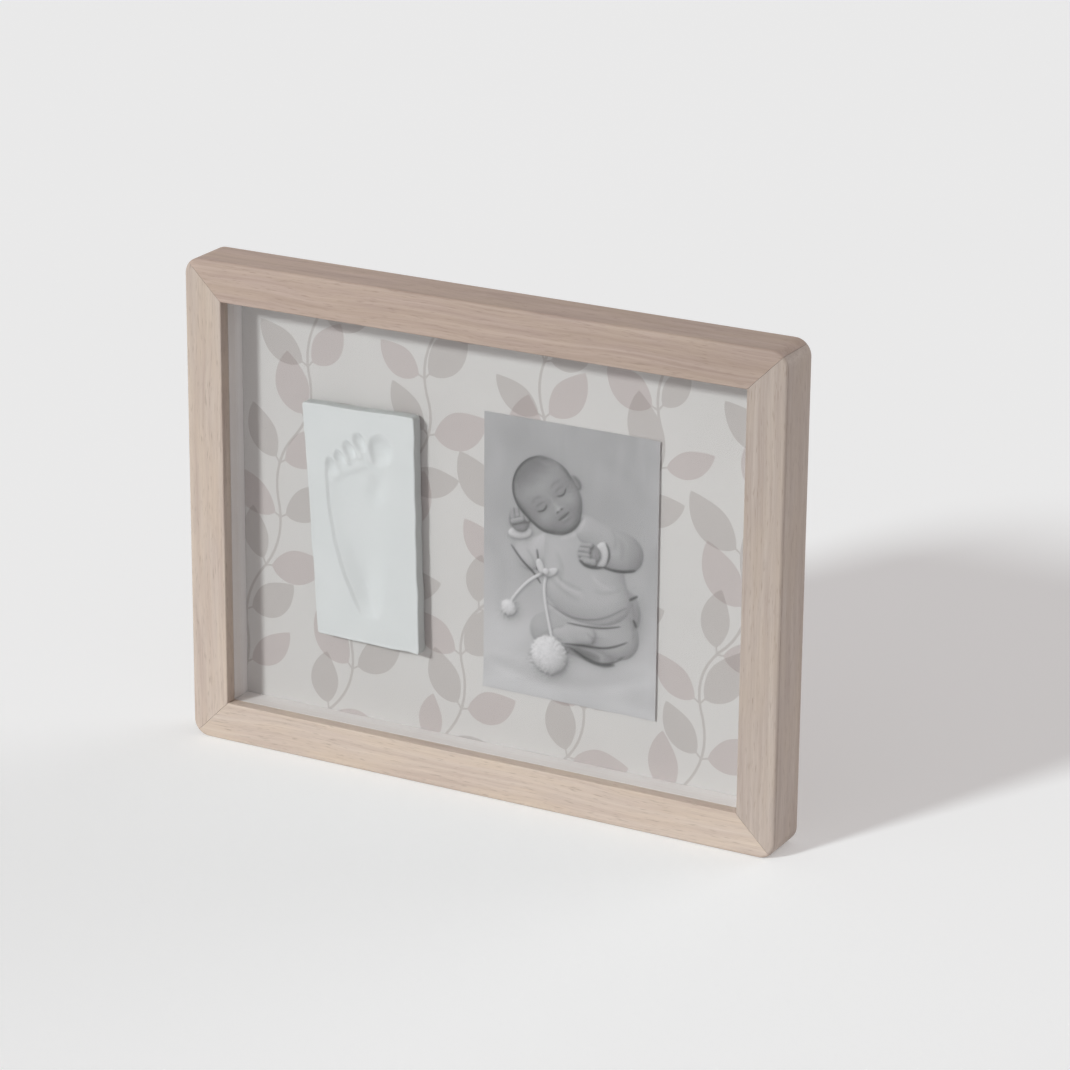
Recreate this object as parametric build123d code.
"""A deep wooden picture frame that holds a clay tile with a baby's footprint beside a photo print.

Millimetres. X is the width, Z is up and the front faces -Y. The frame stands on Z = 0, and X = 0, Y = 0 is
the middle of its overall width and depth. Left and right are as seen from the front.
"""
from build123d import *
from math import atan2, degrees, sqrt
import os

# Outer size of the wooden frame
frame_width = 350.0
frame_height = 270.0
frame_depth = 28.0

# Section of the rails
rail_face_width = 22.0
lip_thickness = 7.0
rabbet_width = 6.0
outer_corner_radius = 9.0
front_edge_radius = 1.8
inner_edge_radius = 0.8
back_edge_radius = 1.0
mitre_glue_gap = 0.12

# Layers laid in from behind
glass_thickness = 2.0
leaf_sheet_thickness = 0.3
mount_board_thickness = 2.0
back_board_thickness = 3.0
back_board_recess = 0.2
rabbet_clearance = 0.3
spacer_setback = 0.4
spacer_end_gap = 0.15
spacer_edge_radius = 0.4

# Clay tile, cut by hand, so its corners are out of square. Its place is given from the opening's middle,
# as shares of the opening's width and height, and so is the print's below
tile_width = 68.0
tile_height = 130.0
tile_thickness = 7.0
tile_corner_radius = 3.0
tile_edge_radius = 1.2
tile_place_shares = (-0.245, -0.012)
tile_corner_shares = [(-0.418, -0.495), (0.504, -0.504), (0.460, 0.506), (-0.542, 0.494)]

# Impression of the foot in the tile: length and width of the foot, and how deep it was pressed
foot_length = 105.0
foot_width = 46.0
foot_depth = 2.4
# Each hollow: its middle across and along the foot, half its width and length, its depth, then the
# degrees that its top leans to the right
sole_shares = [
    (0.060, -0.350, 0.275, 0.142, 1.00, -4),
    (-0.155, -0.070, 0.275, 0.330, 0.80, -11),
    (0.030, 0.150, 0.300, 0.230, 0.70, -8),
    (-0.020, 0.225, 0.500, 0.140, 1.00, -14),
]
toe_shares = [
    (0.265, 0.430, 0.178, 0.096, 1.00, 8),
    (-0.040, 0.452, 0.110, 0.080, 0.85, -2),
    (-0.205, 0.408, 0.105, 0.076, 0.80, -10),
    (-0.345, 0.348, 0.100, 0.070, 0.80, -18),
    (-0.462, 0.275, 0.095, 0.066, 0.75, -22),
]

# Foam pads behind the tile
pad_size = 14.0
pad_thickness = 1.6
pad_corner_radius = 1.0
pad_spread_across_share = 0.27
pad_spread_along_share = 0.36

# Photo print and its tape
print_width = 102.0
print_height = 152.0
print_thickness = 0.3
print_place_shares = (0.147, -0.022)
tape_length = 30.0
tape_width = 12.0
tape_thickness = 0.2
tape_edge_inset = 6.0

# V-nails across the mitres, two at each corner, driven in from behind
v_nail_leg = 3.6
v_nail_sheet = 0.5
v_nail_depth = 7.0
v_nail_sunk = 0.3
v_nail_first = 8.0
v_nail_pitch = 6.5
v_nail_clearance = 0.05

# Turn buttons that hold the back board, and their screws
button_reach = 16.0
button_pivot_radius = 4.5
button_tip_radius = 3.4
button_thickness = 1.0
button_bore_radius = 1.6
button_gap = 0.1
button_edge_radius = 0.25
rib_height = 0.45
rib_half_width = 1.1
rib_start = 5.6
button_pivot_inset = 8.0
button_spread = 95.0

screw_shank_radius = 1.52
screw_length = 11.0
screw_head_radius = 3.1
screw_head_height = 1.9
screw_dome_radius = 1.2
screw_head_gap = 0.08
screw_tip_radius = 0.5
screw_tip_length = 3.0
pilot_clearance = 0.05
cross_slot_width = 0.9
cross_slot_length = 3.4
cross_slot_depth = 0.9

# Sawtooth hanger and its nails
hanger_length = 46.0
hanger_height = 9.0
hanger_thickness = 0.8
hanger_tab = 9.0
hanger_rise = 1.5
hanger_ramp = 2.2
tooth_pitch = 3.0
tooth_depth = 1.8
tooth_count = 7
hanger_nail_inset = 4.6
hanger_nail_shank_radius = 0.7
hanger_nail_head_radius = 1.7
hanger_nail_head_height = 0.6
hanger_nail_length = 10.0
hanger_nail_clearance = 0.05
hanger_seat_gap = 0.05

cut_overrun = 2.0

# Places worked out from the sizes above
opening_width = frame_width - 2 * rail_face_width
opening_height = frame_height - 2 * rail_face_width
seat_width = opening_width + 2 * (rabbet_width - rabbet_clearance)
seat_height = opening_height + 2 * (rabbet_width - rabbet_clearance)
spacer_thickness = rabbet_width - rabbet_clearance - spacer_setback
middle_z = frame_height / 2
tile_place_x = tile_place_shares[0] * opening_width
tile_place_z = middle_z + tile_place_shares[1] * opening_height
print_place_x = print_place_shares[0] * opening_width
print_place_z = middle_z + print_place_shares[1] * opening_height

button_standout = button_gap + button_thickness + screw_head_gap + screw_head_height
hanger_standout = hanger_seat_gap + hanger_rise + hanger_thickness
back_standout = max(button_standout, hanger_standout)

front_y = -(frame_depth + back_standout) / 2
back_y = front_y + frame_depth
glass_front_y = front_y + lip_thickness
spacer_front_y = glass_front_y + glass_thickness
board_back_y = back_y - back_board_recess
board_front_y = board_back_y - back_board_thickness
mount_front_y = board_front_y - mount_board_thickness
sheet_front_y = mount_front_y - leaf_sheet_thickness
tile_back_y = sheet_front_y - pad_thickness
tile_front_y = tile_back_y - tile_thickness
button_under_y = back_y + button_gap
button_top_y = button_under_y + button_thickness
screw_head_y = button_top_y + screw_head_gap


def upright(outline, front, back):
    """Gives an outline, drawn in width and height, its thickness from front to back."""
    return extrude(Plane.XZ.offset(-back) * outline, back - front, dir=(0, -1, 0))


def peg(x, z, radius, front, back):
    """A round bar along the depth."""
    return upright(Pos(x, z) * Circle(radius), front, back)


def plate(width, height, front, back):
    """A plain rectangular layer centred in the frame."""
    return upright(Pos(0, middle_z) * Rectangle(width, height), front, back)


# Rails
def wooden_ring():
    """The four rails as one ring, with the rounded edges and the rabbet behind the lip."""
    outline = Pos(0, middle_z) * RectangleRounded(frame_width, frame_height, outer_corner_radius)
    ring = upright(outline, front_y, back_y)
    ring -= plate(opening_width, opening_height, front_y - cut_overrun, back_y + cut_overrun)
    front_face = ring.faces().sort_by(Axis.Y)[0]
    ring = fillet(front_face.outer_wire().edges(), front_edge_radius)
    front_face = ring.faces().sort_by(Axis.Y)[0]
    ring = fillet(front_face.inner_wires()[0].edges(), inner_edge_radius)
    back_face = ring.faces().sort_by(Axis.Y)[-1]
    ring = fillet(back_face.outer_wire().edges(), back_edge_radius)
    rabbet_opening_width = opening_width + 2 * rabbet_width
    rabbet_opening_height = opening_height + 2 * rabbet_width
    ring -= plate(rabbet_opening_width, rabbet_opening_height, glass_front_y, back_y + cut_overrun)
    return ring


def mitred_region(rail_length, outer_edge):
    """The outline that one rail keeps of the ring, drawn for a rail whose outer edge is up."""
    shift = mitre_glue_gap / sqrt(2)
    half = rail_length / 2
    reach = rail_face_width + cut_overrun
    return Polygon(
        (-half + shift - cut_overrun, outer_edge + cut_overrun),
        (-half + shift + reach, outer_edge - reach),
        (half - shift - reach, outer_edge - reach),
        (half - shift + cut_overrun, outer_edge + cut_overrun),
        align=None,
    )


def make_rails():
    """Cuts the ring at its mitres, after the holes for nails and screws."""
    ring = wooden_ring()
    for nail in v_nails(v_nail_clearance):
        ring -= nail
    for name, x, z, turn in button_places():
        ring -= peg(x, z, screw_shank_radius + pilot_clearance, back_y - screw_length, back_y + cut_overrun)
    for x, z in hanger_nail_places():
        hole_radius = hanger_nail_shank_radius + hanger_nail_clearance
        ring -= peg(x, z, hole_radius, back_y - hanger_nail_length, back_y + cut_overrun)
    sides = {
        "top_rail": (frame_width, frame_height, 0),
        "left_rail": (frame_height, frame_width, 90),
        "bottom_rail": (frame_width, frame_height, 180),
        "right_rail": (frame_height, frame_width, -90),
    }
    rails = {}
    for name, (rail_length, across, angle) in sides.items():
        region = Pos(0, middle_z) * Rot(0, 0, angle) * mitred_region(rail_length, across / 2)
        rails[name] = ring & upright(region, front_y - cut_overrun, back_y + cut_overrun)
    return rails


# V-nails
def v_nail_outline(clearance):
    """A folded strip seen end on, with its fold at the origin and its legs reaching along X."""
    across = v_nail_sheet * sqrt(2) + clearance
    return Polygon(
        (-clearance, 0),
        (v_nail_leg, v_nail_leg + clearance),
        (v_nail_leg + across, v_nail_leg + clearance),
        (across, 0),
        (v_nail_leg + across, -v_nail_leg - clearance),
        (v_nail_leg, -v_nail_leg - clearance),
        align=None,
    )


def v_nails(clearance):
    """Two folded strips at each mitre. The pockets in the wood are the same, with their clearance."""
    nails = []
    for side in (-1, 1):
        for level in (-1, 1):
            angle = degrees(atan2(-level, -side))
            corner = Pos(side * frame_width / 2, middle_z + level * frame_height / 2)
            for step in range(2):
                along = v_nail_first + step * v_nail_pitch
                outline = corner * Rot(0, 0, angle) * Pos(along, 0) * v_nail_outline(clearance)
                outer_end = back_y + cut_overrun if clearance else back_y - v_nail_sunk
                nails.append(upright(outline, back_y - v_nail_sunk - v_nail_depth, outer_end))
    return nails


# Spacers
def make_spacers():
    """White strips between the glass and the backing. The long pair runs through, the short pair fits between."""
    strip_x = (seat_width - spacer_thickness) / 2
    strip_z = (seat_height - spacer_thickness) / 2
    short_length = seat_height - 2 * spacer_thickness - 2 * spacer_end_gap
    places = {
        "spacer_top": (0, strip_z, seat_width, spacer_thickness),
        "spacer_bottom": (0, -strip_z, seat_width, spacer_thickness),
        "spacer_left": (-strip_x, 0, spacer_thickness, short_length),
        "spacer_right": (strip_x, 0, spacer_thickness, short_length),
    }
    spacers = {}
    for name, (x, z, width, height) in places.items():
        outline = Pos(x, middle_z + z) * Rectangle(width, height)
        strip = upright(outline, spacer_front_y, sheet_front_y)
        long_edges = strip.edges().filter_by(Axis.X if width > height else Axis.Z)
        spacers[name] = fillet(long_edges, spacer_edge_radius)
    return spacers


# Clay tile
def hollow(x_share, z_share, width_share, length_share, depth_share, lean):
    """One rounded hollow of the impression, in the foot's own frame, centred on the tile's face."""
    dome = Rot(90, 0, 0) * Sphere(1)
    dome = scale(dome, by=(width_share * foot_width, depth_share * foot_depth, length_share * foot_length))
    return Pos(x_share * foot_width, 0, z_share * foot_length) * Rot(0, lean, 0) * dome


def make_clay_tile():
    """The tile with the sole and the five toes pressed into its face."""
    corners = [(x * tile_width, z * tile_height) for x, z in tile_corner_shares]
    outline = Polygon(*corners, align=None)
    outline = fillet(outline.vertices(), tile_corner_radius)
    tile = upright(Pos(tile_place_x, tile_place_z) * outline, tile_front_y, tile_back_y)
    front_face = tile.faces().sort_by(Axis.Y)[0]
    tile = fillet(front_face.outer_wire().edges(), tile_edge_radius)
    foot = Pos(tile_place_x, tile_front_y, tile_place_z)
    for shares in sole_shares + toe_shares:
        tile -= foot * hollow(*shares)
    return tile


def make_foam_pads():
    """Four soft pads between the tile and the backing."""
    across = pad_spread_across_share * tile_width
    along = pad_spread_along_share * tile_height
    pads = []
    for side in (-1, 1):
        for level in (-1, 1):
            square = RectangleRounded(pad_size, pad_size, pad_corner_radius)
            outline = Pos(tile_place_x + side * across, tile_place_z + level * along) * square
            pads.append(upright(outline, tile_back_y, sheet_front_y))
    return Compound(children=pads)


# Photo print
def make_photo_print():
    """The print, held just off the backing by its tape."""
    back = sheet_front_y - tape_thickness
    outline = Pos(print_place_x, print_place_z) * Rectangle(print_width, print_height)
    return upright(outline, back - print_thickness, back)


def make_photo_tape():
    """A strip of tape across each corner of the print, on its back."""
    across = print_width / 2 - tape_edge_inset - tape_length / 2
    along = print_height / 2 - tape_edge_inset - tape_width / 2
    strips = []
    for side in (-1, 1):
        for level in (-1, 1):
            outline = Pos(print_place_x + side * across, print_place_z + level * along)
            outline = outline * Rectangle(tape_length, tape_width)
            strips.append(upright(outline, sheet_front_y - tape_thickness, sheet_front_y))
    return Compound(children=strips)


# Turn buttons
def button_places():
    """Each turn button's name, its pivot, and the angle at which it points to the middle of the board."""
    pivot_x = frame_width / 2 - button_pivot_inset
    pivot_z = frame_height / 2 - button_pivot_inset
    return [
        ("turn_button_top_left", -button_spread, middle_z + pivot_z, -90),
        ("turn_button_top_right", button_spread, middle_z + pivot_z, -90),
        ("turn_button_bottom_left", -button_spread, middle_z - pivot_z, 90),
        ("turn_button_bottom_right", button_spread, middle_z - pivot_z, 90),
        ("turn_button_left", -pivot_x, middle_z, 0),
        ("turn_button_right", pivot_x, middle_z, 180),
    ]


def make_turn_button(x, z, turn):
    """A stamped steel button that tapers to its tip, with a pressed rib along it."""
    tip_x = button_reach - button_tip_radius
    pivot_end = Circle(button_pivot_radius)
    tip_end = Pos(tip_x, 0) * Circle(button_tip_radius)
    outline = make_hull(pivot_end.edges() + tip_end.edges())
    place = Pos(x, z) * Rot(0, 0, turn)
    button = upright(place * outline, button_under_y, button_top_y)
    outer_face = button.faces().sort_by(Axis.Y)[-1]
    button = fillet(outer_face.outer_wire().edges(), button_edge_radius)
    rib_length = tip_x - rib_start + rib_half_width
    rib_middle = rib_start + (tip_x - rib_start) / 2
    rib_outline = place * Pos(rib_middle, 0) * SlotOverall(rib_length, 2 * rib_half_width)
    rib = upright(rib_outline, button_top_y - rib_height, button_top_y + rib_height)
    rib = fillet(rib.faces().sort_by(Axis.Y)[-1].outer_wire().edges(), rib_height / 2)
    button += rib
    return button - peg(x, z, button_bore_radius, button_under_y - cut_overrun, button_top_y + cut_overrun)


def make_screw(x, z):
    """A pan head wood screw with a cross slot. The thread is left out."""
    tip_base_y = back_y - screw_length + pilot_clearance + screw_tip_length
    shank = peg(x, z, screw_shank_radius, tip_base_y, screw_head_y)
    tip = Pos(x, tip_base_y - screw_tip_length / 2, z) * Rot(90, 0, 0)
    tip = tip * Cone(screw_shank_radius, screw_tip_radius, screw_tip_length)
    head = peg(x, z, screw_head_radius, screw_head_y, screw_head_y + screw_head_height)
    head = fillet(head.faces().sort_by(Axis.Y)[-1].edges(), screw_dome_radius)
    slot_bottom = screw_head_y + screw_head_height - cross_slot_depth
    slot_top = screw_head_y + screw_head_height + cut_overrun
    cross = Rectangle(cross_slot_length, cross_slot_width) + Rectangle(cross_slot_width, cross_slot_length)
    return shank + tip + head - upright(Pos(x, z) * Rot(0, 0, 45) * cross, slot_bottom, slot_top)


# Sawtooth hanger
def hanger_middle_z():
    """The hanger sits midway across the back of the top rail."""
    return frame_height - (rail_face_width - rabbet_width) / 2


def hanger_nail_places():
    """One nail through each end of the hanger."""
    nail_x = hanger_length / 2 - hanger_nail_inset
    return [(-nail_x, hanger_middle_z()), (nail_x, hanger_middle_z())]


def make_sawtooth_hanger():
    """A steel strip with flat ends and a raised middle whose lower edge is toothed."""
    half = hanger_length / 2
    raised_half = half - hanger_tab - hanger_ramp
    seat_y = back_y + hanger_seat_gap
    lower = [
        (-half, seat_y),
        (-half + hanger_tab, seat_y),
        (-raised_half, seat_y + hanger_rise),
        (raised_half, seat_y + hanger_rise),
        (half - hanger_tab, seat_y),
        (half, seat_y),
    ]
    upper = [(x, y + hanger_thickness) for x, y in reversed(lower)]
    strip = Polygon(*lower, *upper, align=None)
    low_z = hanger_middle_z() - hanger_height / 2
    hanger = extrude(Plane.XY.offset(low_z) * strip, hanger_height)
    for step in range(tooth_count):
        x = (step - (tooth_count - 1) / 2) * tooth_pitch
        notch = Polygon(
            (x - tooth_pitch / 2, low_z - cut_overrun),
            (x + tooth_pitch / 2, low_z - cut_overrun),
            (x + tooth_pitch / 2, low_z),
            (x, low_z + tooth_depth),
            (x - tooth_pitch / 2, low_z),
            align=None,
        )
        hanger -= upright(notch, back_y, back_y + back_standout + cut_overrun)
    for x, z in hanger_nail_places():
        hole_radius = hanger_nail_shank_radius + hanger_nail_clearance
        hanger -= peg(x, z, hole_radius, back_y - cut_overrun, back_y + back_standout + cut_overrun)
    return hanger


def make_hanger_nails():
    """Two small round headed nails."""
    nails = []
    head_y = back_y + hanger_seat_gap + hanger_thickness + hanger_seat_gap
    for x, z in hanger_nail_places():
        point_y = back_y - hanger_nail_length + hanger_nail_clearance
        nail = peg(x, z, hanger_nail_shank_radius, point_y, head_y)
        nail += peg(x, z, hanger_nail_head_radius, head_y, head_y + hanger_nail_head_height)
        nails.append(nail)
    return Compound(children=nails)


# All the pieces, each under the name of its own file
pieces = make_rails()
pieces["corner_v_nails"] = Compound(children=v_nails(0))
pieces["glass_pane"] = plate(seat_width, seat_height, glass_front_y, spacer_front_y)
pieces.update(make_spacers())
pieces["leaf_print_sheet"] = plate(seat_width, seat_height, sheet_front_y, mount_front_y)
pieces["mount_board"] = plate(seat_width, seat_height, mount_front_y, board_front_y)
pieces["clay_tile"] = make_clay_tile()
pieces["tile_foam_pads"] = make_foam_pads()
pieces["photo_print"] = make_photo_print()
pieces["photo_tape"] = make_photo_tape()
pieces["back_board"] = plate(seat_width, seat_height, board_front_y, board_back_y)
for button_name, pivot_x, pivot_z, closed_angle in button_places():
    pieces[button_name] = make_turn_button(pivot_x, pivot_z, closed_angle)
screws = [make_screw(pivot_x, pivot_z) for button_name, pivot_x, pivot_z, closed_angle in button_places()]
pieces["turn_button_screws"] = Compound(children=screws)
pieces["sawtooth_hanger"] = make_sawtooth_hanger()
pieces["hanger_nails"] = make_hanger_nails()

os.makedirs("parts", exist_ok=True)
for node, shape in pieces.items():
    export_step(shape, f"parts/{node}.step")

print("overall depth", round(frame_depth + back_standout, 3))
print("glass to backing", round(sheet_front_y - spacer_front_y, 3))
print("backing behind the front face", round(sheet_front_y - front_y, 3))
for button_name, pivot_x, pivot_z, closed_angle in button_places():
    print(button_name, "pivot", pivot_x, round(back_y, 3), pivot_z)
